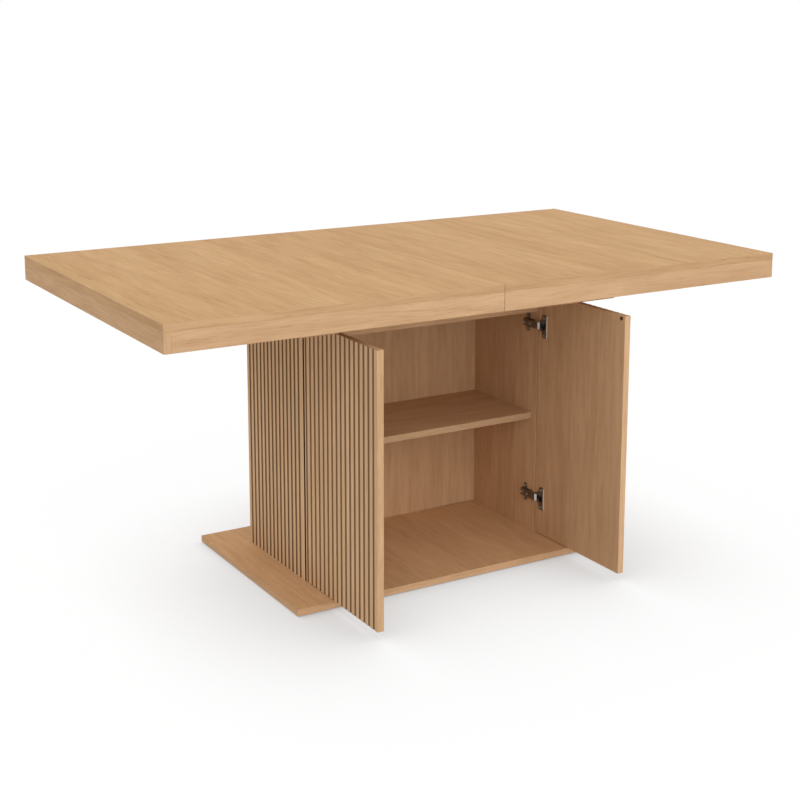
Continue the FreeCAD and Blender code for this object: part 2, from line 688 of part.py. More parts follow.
front_rail = block(
    (-SIDE_INNER, SIDE_INNER), (FRONT_Y, FRONT_Y + BOARD), (RAIL_BOARD_BOTTOM, PLATE_BOTTOM)
)
latch_room = both_sides([latch_body])
parts["front_rail"] = [without(front_rail, dowels + plate_screw_holes + latch_room)]

# Slide units: the front one is made here, and the back one is its mirror image

unit_axis = Vector(0, FRONT_SLIDE_Y, 0)
slide_screw_size = (
    SLIDE_SCREW_DIAMETER,
    SLIDE_SCREW_LENGTH,
    SLIDE_SCREW_HEAD_DIAMETER,
    SLIDE_SCREW_HEAD_HEIGHT,
)


def unit_block(x, offsets, z):
    """Box on the outer side of the front unit, at the given distances from its middle line."""
    return block(x, (FRONT_SLIDE_Y - offsets[0], FRONT_SLIDE_Y - offsets[1]), z)


def half_turned(shape):
    """The same piece turned half round about the front unit's pinion axis."""
    turned = shape.copy()
    turned.rotate(unit_axis, Z_AXIS, 180.0)
    return turned


def involute(angle):
    return math.tan(angle) - angle


def pinion_outline():
    """Points of the pinion: involute flanks, with a tooth centred on the Y axis."""
    base_radius = PITCH_RADIUS * math.cos(PRESSURE_ANGLE)
    root_radius = PITCH_RADIUS - DEDENDUM
    half_tooth = TOOTH_THICKNESS / (2 * PITCH_RADIUS) + involute(PRESSURE_ANGLE)
    radii = spread(base_radius, PITCH_RADIUS + ADDENDUM, FLANK_POINT_COUNT)
    flank = [(radius, half_tooth - involute(math.acos(base_radius / radius))) for radius in radii]
    flank.insert(0, (root_radius, half_tooth))
    points = []
    for tooth in range(PINION_TOOTH_COUNT):
        middle = math.pi / 2 - 2 * math.pi * tooth / PINION_TOOTH_COUNT
        rising = [(radius, middle + angle) for radius, angle in flank]
        falling = [(radius, middle - angle) for radius, angle in reversed(flank)]
        points += [(radius * math.cos(turn), radius * math.sin(turn)) for radius, turn in rising + falling]
    return points


def rack_outline(start, end):
    """Points of the rack, as (x, distance from the pinion's axis), with a space at x = 0."""
    slope = math.tan(PRESSURE_ANGLE)
    root = PITCH_RADIUS + DEDENDUM
    tip = PITCH_RADIUS - ADDENDUM
    root_half = TOOTH_THICKNESS / 2 + DEDENDUM * slope
    tip_half = TOOTH_THICKNESS / 2 - ADDENDUM * slope
    first = math.ceil((start + root_half) / GEAR_PITCH - 0.5)
    last = math.floor((end - root_half) / GEAR_PITCH - 0.5)
    points = [(start, RACK_BACK), (start, root)]
    for tooth in range(first, last + 1):
        middle = (tooth + 0.5) * GEAR_PITCH
        points += [(middle - root_half, root), (middle - tip_half, tip)]
        points += [(middle + tip_half, tip), (middle + root_half, root)]
    points += [(end, root), (end, RACK_BACK)]
    return points


rail_ends = (-SLIDE_RAIL_LENGTH / 2, SLIDE_RAIL_LENGTH / 2)
lip_inner = RACK_BACK + RUNNER_WALL + LIP_GAP
rail_half = CHANNEL_HALF + SLIDE_RAIL_WALL
outer_wall = unit_block(rail_ends, (CHANNEL_HALF, rail_half), (PLATE_TOP, LIP_TOP))
outer_lip = unit_block(rail_ends, (lip_inner, rail_half), (LIP_BOTTOM, LIP_TOP))
rail_web = unit_block(rail_ends, (-rail_half, rail_half), (PLATE_TOP, RAIL_FLOOR))
pinion_boss = rod(
    PINION_PIN_HEAD_DIAMETER,
    unit_axis + Z_AXIS * RAIL_FLOOR,
    unit_axis + Z_AXIS * (RAIL_FLOOR + PINION_BOSS_HEIGHT),
)
pin_shaft = rod(
    PINION_PIN_DIAMETER, unit_axis + Z_AXIS * PLATE_TOP, unit_axis + Z_AXIS * (PINION_TOP + SLIDE_GAP)
)
pin_head = rod(
    PINION_PIN_HEAD_DIAMETER,
    unit_axis + Z_AXIS * (PINION_TOP + SLIDE_GAP),
    unit_axis + Z_AXIS * (PINION_TOP + SLIDE_GAP + PINION_PIN_HEAD_HEIGHT),
)
rail_screw_xs = spread(PINION_SCREW_GAP, SLIDE_RAIL_LENGTH / 2 - RAIL_SCREW_INSET, RAIL_SCREW_COUNT)
rail_seats = []
for screw_x in rail_screw_xs:
    rail_seats += [unit_axis + Vector(-screw_x, 0, RAIL_FLOOR), unit_axis + Vector(screw_x, 0, RAIL_FLOOR)]
rail_screw_holes = [screw_hole(seat, -Z_AXIS, *slide_screw_size) for seat in rail_seats]
rail_screws = [screw(seat, -Z_AXIS, *slide_screw_size) for seat in rail_seats]
slide_rail = joined(
    rail_web, outer_wall, outer_lip, half_turned(outer_wall), half_turned(outer_lip), pinion_boss
)
slide_rail = without(slide_rail, rail_screw_holes + [pin_shaft])
parts["front_slide_rail"] = [slide_rail]
parts["back_slide_rail"] = [mirror_y(slide_rail)]
parts["slide_rail_screws"] = front_and_back(rail_screws)
parts["pinion_pins"] = front_and_back([joined(pin_shaft, pin_head)])

pinion = prism(pinion_outline(), PINION_BOTTOM, PINION_TOP)
pinion.translate(unit_axis)
pinion_hole = rod(
    PINION_PIN_DIAMETER + RUNNING_CLEARANCE + RUNNING_CLEARANCE,
    unit_axis + Z_AXIS * PLATE_TOP,
    unit_axis + Z_AXIS * (PINION_TOP + CUT_OVERRUN),
)
pinion = without(pinion, [pinion_hole])
parts["front_pinion"] = [pinion]
parts["back_pinion"] = [mirror_y(pinion)]

rack_points = [(x, FRONT_SLIDE_Y - offset) for x, offset in rack_outline(-RACK_SPARE, RUNNER_INNER_END)]
rack = prism(rack_points, RAIL_FLOOR + RACK_LIFT, RAIL_FLOOR + RACK_LIFT + RACK_HEIGHT)
runner_x = (-RUNNER_OUTER_END, RUNNER_INNER_END)
foot = unit_block(runner_x, (RACK_BACK, CHANNEL_HALF - SLIDE_GAP), (FOOT_BOTTOM, FOOT_TOP))
wall = unit_block(runner_x, (RACK_BACK, RACK_BACK + RUNNER_WALL), (FOOT_TOP, RUNNER_FLANGE_BOTTOM))
flange = unit_block(
    (-RUNNER_OUTER_END, -RUNNER_SEAM_GAP),
    (RACK_BACK, RACK_BACK + RUNNER_FLANGE_WIDTH),
    (RUNNER_FLANGE_BOTTOM, TOP_UNDERSIDE),
)
runner_screw_offset = RACK_BACK + (RUNNER_WALL + RUNNER_FLANGE_WIDTH) / 2
runner_seats = [
    Vector(x, FRONT_SLIDE_Y - runner_screw_offset, RUNNER_FLANGE_BOTTOM)
    for x in spread(
        -RUNNER_OUTER_END + RUNNER_SCREW_INSET, -RUNNER_SEAM_GAP - RUNNER_SCREW_INSET, RUNNER_SCREW_COUNT
    )
]
runner_screw_holes = [screw_hole(seat, Z_AXIS, *slide_screw_size) for seat in runner_seats]
runner_screws = [screw(seat, Z_AXIS, *slide_screw_size) for seat in runner_seats]
runner = without(joined(foot, wall, flange), runner_screw_holes)
left_screw_room = front_and_back(runner_screw_holes)
right_screw_room = front_and_back(half_turned(hole) for hole in runner_screw_holes)
parts["left_runners"] = front_and_back([runner])
parts["left_racks"] = front_and_back([rack])
parts["left_runner_screws"] = front_and_back(runner_screws)
parts["right_runners"] = front_and_back([half_turned(runner)])
parts["right_racks"] = front_and_back([half_turned(rack)])
parts["right_runner_screws"] = front_and_back(half_turned(piece) for piece in runner_screws)

sub_top_plate = block(
    (-PLATE_LENGTH / 2, PLATE_LENGTH / 2), (-PLATE_DEPTH / 2, PLATE_DEPTH / 2), (PLATE_BOTTOM, PLATE_TOP)
)
parts["sub_top_plate"] = [without(sub_top_plate, plate_screw_holes + front_and_back(rail_screw_holes))]

# Top halves: the left one is made here, and the right one is its mirror image

seam_x = -SEAM_GAP / 2
end_x = -TABLE_LENGTH / 2
end_inner = end_x + BOARD
edge_y = TABLE_WIDTH / 2
edge_inner = edge_y - BOARD
apron_levels = (APRON_BOTTOM, TOP_UNDERSIDE)

dowel_low = TOP_UNDERSIDE + DOWEL_SHALLOW_DEPTH - APRON_DOWEL_LENGTH
dowel_high = TOP_UNDERSIDE + DOWEL_SHALLOW_DEPTH
apron_dowel_places = []
for dowel_x in spread(end_inner + APRON_DOWEL_INSET, seam_x - APRON_DOWEL_INSET, APRON_DOWEL_COUNT):
    apron_dowel_places += [(dowel_x, -edge_y + BOARD / 2), (dowel_x, edge_y - BOARD / 2)]
for dowel_y in spread(-edge_y + APRON_DOWEL_INSET, edge_y - APRON_DOWEL_INSET, APRON_DOWEL_COUNT):
    apron_dowel_places.append((end_x + BOARD / 2, dowel_y))
apron_dowels = [
    rod(DOWEL_DIAMETER, Vector(x, y, dowel_low), Vector(x, y, dowel_high)) for x, y in apron_dowel_places
]

corner_block = prism(
    [
        (end_inner, -edge_inner),
        (end_inner + CORNER_BLOCK_LEG, -edge_inner),
        (end_inner, -edge_inner + CORNER_BLOCK_LEG),
    ],
    TOP_UNDERSIDE - CORNER_BLOCK_HEIGHT,
    TOP_UNDERSIDE,
)
front_apron = block((end_inner, seam_x), (-edge_y, -edge_inner), apron_levels)
end_apron = block((end_x, end_inner), (-edge_y, edge_y), apron_levels)
left_frame_pieces = {
    "end_apron": [without(end_apron, apron_dowels)],
    "front_apron": [without(front_apron, apron_dowels)],
    "back_apron": [without(mirror_y(front_apron), apron_dowels)],
    "corner_blocks": front_and_back([corner_block]),
    "apron_dowels": apron_dowels,
}
for name, solids in left_frame_pieces.items():
    parts["left_" + name] = solids
    parts["right_" + name] = [mirror_x(solid) for solid in solids]

seam_level = TOP_UNDERSIDE + BOARD / 2
seam_dowels = []
seam_bores = []
for seam_y in spread(-SEAM_DOWEL_SPACING, SEAM_DOWEL_SPACING, SEAM_DOWEL_COUNT):
    root_end = Vector(DOWEL_LENGTH - SEAM_DOWEL_REACH, seam_y, seam_level)
    free_end = Vector(-SEAM_DOWEL_REACH, seam_y, seam_level)
    seam_dowels.append(rod(DOWEL_DIAMETER, root_end, free_end))
    bore_end = free_end - X_AXIS * SEAM_BORE_SPARE
    seam_bores.append(rod(DOWEL_DIAMETER + RUNNING_CLEARANCE + RUNNING_CLEARANCE, root_end, bore_end))
parts["seam_dowels"] = seam_dowels

left_panel = block((end_x, seam_x), (-edge_y, edge_y), (TOP_UNDERSIDE, TABLE_HEIGHT))
right_apron_dowels = [mirror_x(dowel) for dowel in apron_dowels]
parts["left_top_panel"] = [without(left_panel, apron_dowels + left_screw_room + seam_bores)]
parts["right_top_panel"] = [
    without(mirror_x(left_panel), right_apron_dowels + right_screw_room + seam_dowels)
]

# Extension leaf, folded on felt pads between the slides

leaf_x = (-TOP_TRAVEL, TOP_TRAVEL)
leaf_y = (-LEAF_HALF_DEPTH, LEAF_HALF_DEPTH)
pads = []
for pad_x in (leaf_x[0] + PAD_INSET, leaf_x[1] - PAD_INSET):
    for pad_y in (leaf_y[0] + PAD_INSET, leaf_y[1] - PAD_INSET):
        pads.append(block(around(pad_x, PAD_SIZE), around(pad_y, PAD_SIZE), (PLATE_TOP, LEAF_LOW)))
parts["leaf_pads"] = pads
parts["leaf_lower_panel"] = [block(leaf_x, leaf_y, (LEAF_LOW, LEAF_FOLD_LOW))]
parts["leaf_upper_panel"] = [block(leaf_x, leaf_y, (LEAF_FOLD_HIGH, LEAF_HIGH))]

barrel_y = leaf_y[1] + LEAF_BARREL_DIAMETER / 2
barrel_level = (LEAF_FOLD_LOW + LEAF_FOLD_HIGH) / 2
hinge_leaf_thickness = (LEAF_FOLD_GAP - LEAF_HINGE_PLAY) / 2
lower_levels = (LEAF_FOLD_LOW, LEAF_FOLD_LOW + hinge_leaf_thickness)
upper_levels = (LEAF_FOLD_HIGH - hinge_leaf_thickness, LEAF_FOLD_HIGH)


def leaf_hinge_point(x):
    return Vector(x, barrel_y, barrel_level)


leaf_hinge_plates = []
leaf_hinge_pins = []
for hinge_x in spread(leaf_x[0] + LEAF_HINGE_INSET, leaf_x[1] - LEAF_HINGE_INSET, LEAF_HINGE_COUNT):
    ends = around(hinge_x, LEAF_HINGE_LENGTH)
    cuts = spread(ends[0], ends[1], LEAF_KNUCKLE_COUNT + 1)
    pin_room = rod(LEAF_PIN_DIAMETER, leaf_hinge_point(ends[0]), leaf_hinge_point(ends[1]))
    leaf_hinge_pins.append(pin_room)
    for side, levels in enumerate((lower_levels, upper_levels)):
        plate = block(ends, (leaf_y[1] - LEAF_HINGE_WIDTH, barrel_y), levels)
        own = []
        other = []
        for knuckle in range(LEAF_KNUCKLE_COUNT):
            barrel = rod(
                LEAF_BARREL_DIAMETER, leaf_hinge_point(cuts[knuckle]), leaf_hinge_point(cuts[knuckle + 1])
            )
            (own if knuckle % 2 == side else other).append(barrel)
        leaf_hinge_plates.append(without(joined(plate, *own), other + [pin_room]))
parts["leaf_hinge_plates"] = leaf_hinge_plates
parts["leaf_hinge_pins"] = leaf_hinge_pins

# One file for each named piece or group of like pieces

os.makedirs("parts", exist_ok=True)
for name, solids in parts.items():
    shape = solids[0] if len(solids) == 1 else Part.makeCompound(solids)
    shape.exportStep(os.path.join("parts", name + ".step"))
    print(name, len(shape.Solids), "valid" if shape.isValid() else "NOT VALID", round(shape.Volume))
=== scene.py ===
"""Looks of the extending kitchen table: oak foil boards, nickel hinges and a plain white studio."""

import math
import zlib

import bpy
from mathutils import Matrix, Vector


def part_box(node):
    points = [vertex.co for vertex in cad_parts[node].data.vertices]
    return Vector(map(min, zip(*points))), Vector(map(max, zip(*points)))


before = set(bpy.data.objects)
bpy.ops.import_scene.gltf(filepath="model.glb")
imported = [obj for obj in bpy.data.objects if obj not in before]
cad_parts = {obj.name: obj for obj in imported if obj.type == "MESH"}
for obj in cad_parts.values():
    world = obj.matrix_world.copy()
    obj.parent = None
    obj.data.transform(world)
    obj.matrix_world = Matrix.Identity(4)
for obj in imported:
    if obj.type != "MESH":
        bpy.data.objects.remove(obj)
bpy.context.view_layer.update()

# Axes of the frame, and a right angle
X, Y, Z = 0, 1, 2
QUARTER_TURN = math.pi / 2

# Camera: place in metres, lens in millimetres; turned from the table's front towards its left end
CAMERA_PLACE = (-1.8373, -3.0905, 1.3755)
CAMERA_YAW = math.radians(30.45)
CAMERA_PITCH = math.radians(10.86)
CAMERA_LENS = 66.98
CAMERA_SHIFT_SHARES = (0.0085, -0.15)

# Floor: lengths in metres, colours and strengths as shares of white; the contact shade lies under the table
FLOOR_SIZE = 60.0
FLOOR_ALBEDO_SHARE = 0.84
FLOOR_SHADOW_SHARE = 0.10
FLOOR_GLOW_SHARE = 0.915
CONTACT_REACH = 0.5
CONTACT_SAMPLES = 16
CONTACT_SHARE = 0.72
CONTACT_TINT_SHARES = (1.0, 0.95, 0.92)

# Sky by direction, and the backdrop that the eye sees in its place, as shares of white
SKY_SHARES = {"up": 0.285, "left": 1.27, "right": 1.12, "front": 1.10, "back": 1.85}
BACKDROP_SHARE = 1.0

# Soft keys: share of white, turn from the table's front towards its left end, and rise above the floor
KEY_SPREAD = math.radians(70)
KEYS = {
    "low_key": (0.175, math.radians(25), math.radians(10)),
    "high_key": (0.220, math.radians(0), math.radians(35)),
}

# Wood figure: steps of noise per metre across and along the grain, then the noise's detail and roughness
GRAIN_LAYERS = {
    "wave": (14.0, 3.5, 2.0, 0.5),
    "band": (9.0, 0.5, 0.0, 0.5),
    "cloud": (26.0, 2.4, 1.0, 0.5),
    "flame": (70.0, 8.5, 2.0, 0.6),
    "streak": (200.0, 6.5, 3.0, 0.6),
    "line": (1500.0, 30.0, 1.0, 0.5),
    "wander": (9.0, 2.2, 2.0, 0.5),
    "wobble": (30.0, 5.0, 2.0, 0.5),
}
NOISE_MIDDLE_SHARE = 0.5
PLAIN_TONE_SHARE = 0.62
TONE_SHARES = {"band": 0.48, "cloud": 0.52, "flame": 0.92, "streak": 0.84}
WAVE_REACH = 0.03
PORE_LINE_SHARES = (0.60, 0.74)
PORE_STREAK_SHARES = (0.62, 0.40)

# Growth rings of the figure, in metres: each column of wood has a heart of its own, which slopes
COLUMN_WIDTH = 0.115
COLUMN_BEND = 0.09
HEART_SPREAD = 0.09
RING_SPACING = 0.013
RING_WOBBLE = 0.012
RING_TILT_SHARE = 0.075
RING_TONE_SHARE = 0.50
RING_POWER = 2.0

# Shift of the figure from board to board, in metres, and the bits of a name's code that set it on each axis
SHIFT_REACH = 7.0
SHIFT_BITS = 10

# A face looks along an axis if more than this share of its normal lies along it
FACING_SHARE = 0.7

# A face is upright if less than this share of its normal points up or down
UPRIGHT_SHARE = 0.5

# Worn arrises: how alike the rounded and the flat normal are where wear starts and where it is full
WEAR_SHARES = (0.995, 0.80)
WEAR_SAMPLES = 4

# Foil of the boards: lengths in metres, and a bump as its strength and its depth
BOARD_EDGE_RADIUS = 0.0012
GROOVE_DEPTH = 0.0012
GROOVE_MARGIN = 0.0003
GROOVE_END_MARGIN = 0.002
GROOVE_TONE_SHARE = 0.9
PORE_TONE_SHARE = 0.45
BOARD_WEAR_SHARE = 0.35
FOIL_RELIEF_SHARE = 0.5
FOIL_BUMP = (0.25, 0.00025)
FOIL_SPECULAR_SHARE = 0.01
FOIL_ROUGHNESS_SHARES = (0.68, 0.52)

# Fittings: steps of noise per metre, then the noise's detail and roughness; brushing has fewer steps
FITTING_LAYERS = {
    "scratch": (900.0, 2.0, 0.5),
    "tarnish": (60.0, 3.0, 0.5),
    "skin": (1400.0, 2.0, 0.5),
    "scuff": (45.0, 2.0, 0.5),
    "fibre": (1100.0, 4.0, 0.7),
    "mat": (120.0, 2.0, 0.5),
}
BRUSHED_STEPS = {"scratch": 12.0, "tarnish": 1.5}
FITTING_EDGE_RADIUS = 0.0006
FITTING_WEAR_SHARE = 0.5
UNEVEN_SHARES = (0.9, 1.15)

# Metal: noise between which tarnish and roughness grow, and the matt look of a painted highlight on an edge
TARNISH_SHARES = (0.35, 0.70)
TARNISH_TONE_SHARE = 0.6
METAL_UNEVEN_SHARES = (0.6, 1.4)
METAL_BUMP = (0.10, 0.0001)
METALLIC_SHARE = 1.0
HIGHLIGHT_METALLIC_SHARE = 0.15

# Plastic: noise between which scuffs and roughness grow
SCUFF_SHARES = (0.35, 0.65)
SCUFF_TONE_SHARE = 0.35
PLASTIC_UNEVEN_SHARES = (0.3, 0.7)
PLASTIC_BUMP = (0.15, 0.0001)

# Felt: noise between which its fluff shows
FLUFF_SHARES = (0.12, 0.42)
FELT_BUMP = (0.6, 0.0004)
FELT_ROUGHNESS_SHARE = 0.95
FELT_SHEEN_SHARE = 0.3

# Eased edges, in metres
BOARD_BEVEL = 0.0006
GROOVED_BEVEL = 0.0004
FITTING_BEVEL = 0.00025
BEVEL_SEGMENTS = 2
BEVEL_ANGLE = math.radians(40)
FLAT_ANGLE = math.radians(0.5)
WELD_REACH = 0.000002

# Screen colours: the top of their scale, and their curve, which is straight at first and then a power
SCREEN_TOP = 255
SCREEN_STRAIGHT_SHARE = 0.04045
SCREEN_SLOPE = 12.92
SCREEN_OFFSET_SHARE = 0.055
SCREEN_POWER = 2.4


def srgb(red, green, blue):
    """Linear colour of a screen colour whose parts run from 0 to 255."""
    parts = []
    for value in (red, green, blue):
        share = value / SCREEN_TOP
        if share <= SCREEN_STRAIGHT_SHARE:
            parts.append(share / SCREEN_SLOPE)
        else:
            parts.append(((share + SCREEN_OFFSET_SHARE) / (1 + SCREEN_OFFSET_SHARE)) ** SCREEN_POWER)
    return (*parts, 1.0)


def grey(share):
    """Linear grey of a share of white."""
    return (share, share, share, 1.0)


WHITE = grey(1.0)
PORE_BROWN = srgb(122, 84, 52)
GROOVE_BROWN = srgb(116, 88, 62)
# Painted shade of the gap between a door and a side panel
PAINTED_GAP_SHADE = srgb(48, 28, 14)
TOP_OAK = {"light": srgb(218, 177, 131), "dark": srgb(190, 148, 105), "pore": PORE_BROWN}
TOP_EDGE_OAK = {"light": srgb(203, 165, 125), "dark": srgb(177, 139, 101)}
APRON_OAK = {"light": srgb(209, 171, 133), "dark": srgb(181, 143, 106), "pore": PORE_BROWN}
CABINET_OAK = {"light": srgb(213, 174, 135), "dark": srgb(185, 146, 109), "pore": PORE_BROWN}
BASE_OAK = {"light": srgb(223, 182, 138), "dark": srgb(195, 153, 112), "pore": PORE_BROWN}
SHELF_EDGE_OAK = {"light": srgb(196, 162, 126), "dark": srgb(170, 136, 102)}
# Painted light: a lighter oak for the grooved outer faces, making up for the shade under the overhanging
# top
PAINTED_LIGHT_SLAT_OAK = {"light": srgb(224, 187, 147), "dark": srgb(198, 161, 122)}
BEECH = {"light": srgb(222, 190, 152), "dark": srgb(205, 168, 128), "pore": srgb(170, 125, 88)}

# Sockets of a Mix node for each kind of data: its first and second input, and its output
MIX_SOCKETS = {"VECTOR": (4, 5, 1), "RGBA": (6, 7, 2)}


def node(tree, kind, inputs=None, **settings):
    """New shader node. An input given as a socket is linked, and any other value is set."""
    made = tree.nodes.new(kind)
    for name, value in settings.items():
        setattr(made, name, value)
    for name, value in (inputs or {}).items():
        if isinstance(value, bpy.types.NodeSocket):
            tree.links.new(value, made.inputs[name])
        else:
            made.inputs[name].default_value = value
    return made


def calc(tree, operation, first, second=0.0, third=0.0):
    """Result of a Math node."""
    inputs = {0: first, 1: second, 2: third}
    return node(tree, "ShaderNodeMath", inputs, operation=operation).outputs[0]


def vector_calc(tree, operation, first, second=(0.0, 0.0, 0.0), result="Vector"):
    """Result of a Vector Math node: its Vector or its Value."""
    return node(tree, "ShaderNodeVectorMath", {0: first, 1: second}, operation=operation).outputs[result]


def axis_parts(tree, vector):
    """Three parts of a vector."""
    return node(tree, "ShaderNodeSeparateXYZ", {0: vector}).outputs


def joined(tree, parts):
    """Vector of up to three parts."""
    return node(tree, "ShaderNodeCombineXYZ", dict(enumerate(parts))).outputs[0]


def reordered(tree, vector, order):
    """Vector with its axes in another order."""
    parts = axis_parts(tree, vector)
    return joined(tree, [parts[axis] for axis in order])


def between(tree, value, low, high):
    """1 where value lies between low and high, else 0."""
    above = calc(tree, "GREATER_THAN", value, low)
    below = calc(tree, "LESS_THAN", value, high)
    return calc(tree, "MULTIPLY", above, below)


def remap(tree, value, start, end, low=0.0, high=1.0):
    """Value taken from the range start..end to low..high, and held there."""
    inputs = {"Value": value, "From Min": start, "From Max": end, "To Min": low, "To Max": high}
    return node(tree, "ShaderNodeMapRange", inputs, clamp=True).outputs[0]


def mixed(tree, share, first, second, kind="RGBA"):
    """Colour between two colours, or vector between two vectors."""
    first_socket, second_socket, result = MIX_SOCKETS[kind]
    inputs = {0: share, first_socket: first, second_socket: second}
    return node(tree, "ShaderNodeMix", inputs, data_type=kind).outputs[result]


def tinted(tree, colour, tint, mask, share):
    """Colour that takes a share of a tint where the mask is 1."""
    return mixed(tree, calc(tree, "MULTIPLY", mask, share), colour, tint)


def noise(tree, place, steps, detail, roughness):
    """Noise with its own number of steps per metre along each axis."""
    scaled = vector_calc(tree, "MULTIPLY", place, steps)
    inputs = {"Vector": scaled, "Scale": 1.0, "Detail": detail, "Roughness": roughness}
    return node(tree, "ShaderNodeTexNoise", inputs).outputs[0]


def centred(tree, value):
    """Noise that swings about zero."""
    return calc(tree, "SUBTRACT", value, NOISE_MIDDLE_SHARE)


def grain_layer(tree, place, name):
    """One layer of the wood figure, for a place given as (across, depth, along)."""
    across_steps, along_steps, detail, roughness = GRAIN_LAYERS[name]
    return noise(tree, place, (across_steps, across_steps, along_steps), detail, roughness)


def growth_rings(tree, place):
    """Rings round a sloping heart in the middle of each column: long ovals on the face of a board."""
    across, depth, along = axis_parts(tree, place)
    wander = centred(tree, grain_layer(tree, place, "wander"))
    bent = calc(tree, "MULTIPLY_ADD", wander, COLUMN_BEND, across)
    offset = calc(tree, "PINGPONG", bent, COLUMN_WIDTH / 2)
    column = calc(tree, "FLOOR", calc(tree, "DIVIDE", bent, COLUMN_WIDTH))
    start = node(tree, "ShaderNodeTexWhiteNoise", {"W": column}, noise_dimensions="1D").outputs[0]
    heart = calc(tree, "MULTIPLY", centred(tree, start), HEART_SPREAD)
    slope = calc(tree, "MULTIPLY_ADD", along, RING_TILT_SHARE, heart)
    wobble = calc(tree, "MULTIPLY", centred(tree, grain_layer(tree, place, "wobble")), RING_WOBBLE)
    away = calc(tree, "ADD", calc(tree, "ADD", depth, slope), wobble)
    radius = vector_calc(tree, "LENGTH", joined(tree, (offset, away)), result="Value")
    turn = calc(tree, "FRACT", calc(tree, "DIVIDE", radius, RING_SPACING))
    near_heart = remap(tree, radius, COLUMN_WIDTH / 2, 0.0)
    return calc(tree, "MULTIPLY", calc(tree, "POWER", turn, RING_POWER), near_heart)


def grain_group():
    """Wood figure for a place given as (across, depth, along): a tone, and fine dark pores."""
    tree = bpy.data.node_groups.new("wood_grain", "ShaderNodeTree")
    tree.interface.new_socket("Place", in_out="INPUT", socket_type="NodeSocketVector")
    tree.interface.new_socket("Tone", in_out="OUTPUT", socket_type="NodeSocketFloat")
    tree.interface.new_socket("Pore", in_out="OUTPUT", socket_type="NodeSocketFloat")
    place = node(tree, "NodeGroupInput").outputs["Place"]
    across, depth, along = axis_parts(tree, place)
    wave = centred(tree, grain_layer(tree, place, "wave"))
    waved = joined(tree, (calc(tree, "MULTIPLY_ADD", wave, WAVE_REACH, across), depth, along))

    # Broad bands and clouds lie straight, flames and streaks are wavy
    layers = {
        "band": grain_layer(tree, place, "band"),
        "cloud": grain_layer(tree, place, "cloud"),
        "flame": grain_layer(tree, waved, "flame"),
        "streak": grain_layer(tree, waved, "streak"),
    }
    tone = PLAIN_TONE_SHARE
    for name, share in TONE_SHARES.items():
        tone = calc(tree, "MULTIPLY_ADD", centred(tree, layers[name]), share, tone)
    tone = calc(tree, "MULTIPLY_ADD", growth_rings(tree, place), -RING_TONE_SHARE, tone)

    # Pores are the fine lines in the darker streaks
    lines = remap(tree, grain_layer(tree, waved, "line"), *PORE_LINE_SHARES)
    pore = calc(tree, "MULTIPLY", lines, remap(tree, layers["streak"], *PORE_STREAK_SHARES))
    node(tree, "NodeGroupOutput", {"Tone": tone, "Pore": pore})
    return tree


GRAIN = grain_group()


def empty_tree(owner):
    """Node tree of a material or a world, with nothing in it."""
    owner.use_nodes = True
    owner.node_tree.nodes.clear()
    return owner.node_tree


def new_material(name):
    """Empty material with its tree, and a principled shader wired to the output."""
    made = bpy.data.materials.new(name)
    tree = empty_tree(made)
    shader = node(tree, "ShaderNodeBsdfPrincipled")
    node(tree, "ShaderNodeOutputMaterial", {"Surface": shader.outputs[0]})
    return made, tree, shader


def wire(tree, shader, colour, height, bump):
    """Links a colour and a bump = (strength, depth) to a shader."""
    strength, depth = bump
    raised = node(tree, "ShaderNodeBump", {"Strength": strength, "Distance": depth, "Height": height})
    tree.links.new(colour, shader.inputs["Base Color"])
    tree.links.new(raised.outputs[0], shader.inputs["Normal"])


def facing_axis(tree, coordinates, axis):
    """1 on the faces that look along an axis, either way."""
    along = calc(tree, "ABSOLUTE", axis_parts(tree, coordinates.outputs["Normal"])[axis])
    return calc(tree, "GREATER_THAN", along, FACING_SHARE)


def facing_way(tree, coordinates, way):
    """1 on the faces that look along way = (axis, sign)."""
    axis, sign = way
    along = calc(tree, "MULTIPLY", axis_parts(tree, coordinates.outputs["Normal"])[axis], sign)
    return calc(tree, "GREATER_THAN", along, FACING_SHARE)


def edge_mask(tree, radius):
    """Near 1 on the arrises of a piece, where hands and cloths rub."""
    rounded = node(tree, "ShaderNodeBevel", {"Radius": radius}, samples=WEAR_SAMPLES).outputs[0]
    flat = node(tree, "ShaderNodeNewGeometry").outputs["True Normal"]
    return remap(tree, vector_calc(tree, "DOT_PRODUCT", rounded, flat, result="Value"), *WEAR_SHARES)


def groove_mask(tree, coordinates, outward, width_axis, box):
    """1 inside the upright grooves of a board whose grooved face looks outward = (axis, sign)."""
    axis, sign = outward
    low, high = box
    face = high[axis] if sign > 0 else low[axis]
    place = axis_parts(tree, coordinates.outputs["Object"])
    sunk = calc(tree, "MULTIPLY", calc(tree, "SUBTRACT", place[axis], face), -sign)
    inside = between(tree, sunk, GROOVE_MARGIN, GROOVE_DEPTH + GROOVE_MARGIN)
    rise = axis_parts(tree, coordinates.outputs["Normal"])[Z]
    upright = between(tree, rise, -UPRIGHT_SHARE, UPRIGHT_SHARE)
    first = low[width_axis] + GROOVE_END_MARGIN
    last = high[width_axis] - GROOVE_END_MARGIN
    clear_of_ends = between(tree, place[width_axis], first, last)
    return calc(tree, "MULTIPLY", calc(tree, "MULTIPLY", inside, upright), clear_of_ends)


def outer_half_mask(tree, coordinates, outward, box):
    """1 in the half of a board's thickness that lies nearer its grooved face."""
    axis, sign = outward
    low, high = box
    middle = (low[axis] + high[axis]) / 2
    beyond = calc(tree, "SUBTRACT", axis_parts(tree, coordinates.outputs["Object"])[axis], middle)
    return calc(tree, "GREATER_THAN", calc(tree, "MULTIPLY", beyond, sign), 0.0)


def piece_shift(name):
    """Steady offset into the grain pattern, so that no two boards look alike."""
    code = zlib.crc32(name.encode())
    top = 2 ** SHIFT_BITS - 1
    return tuple(SHIFT_REACH * ((code >> SHIFT_BITS * axis & top) / top) for axis in (X, Y, Z))


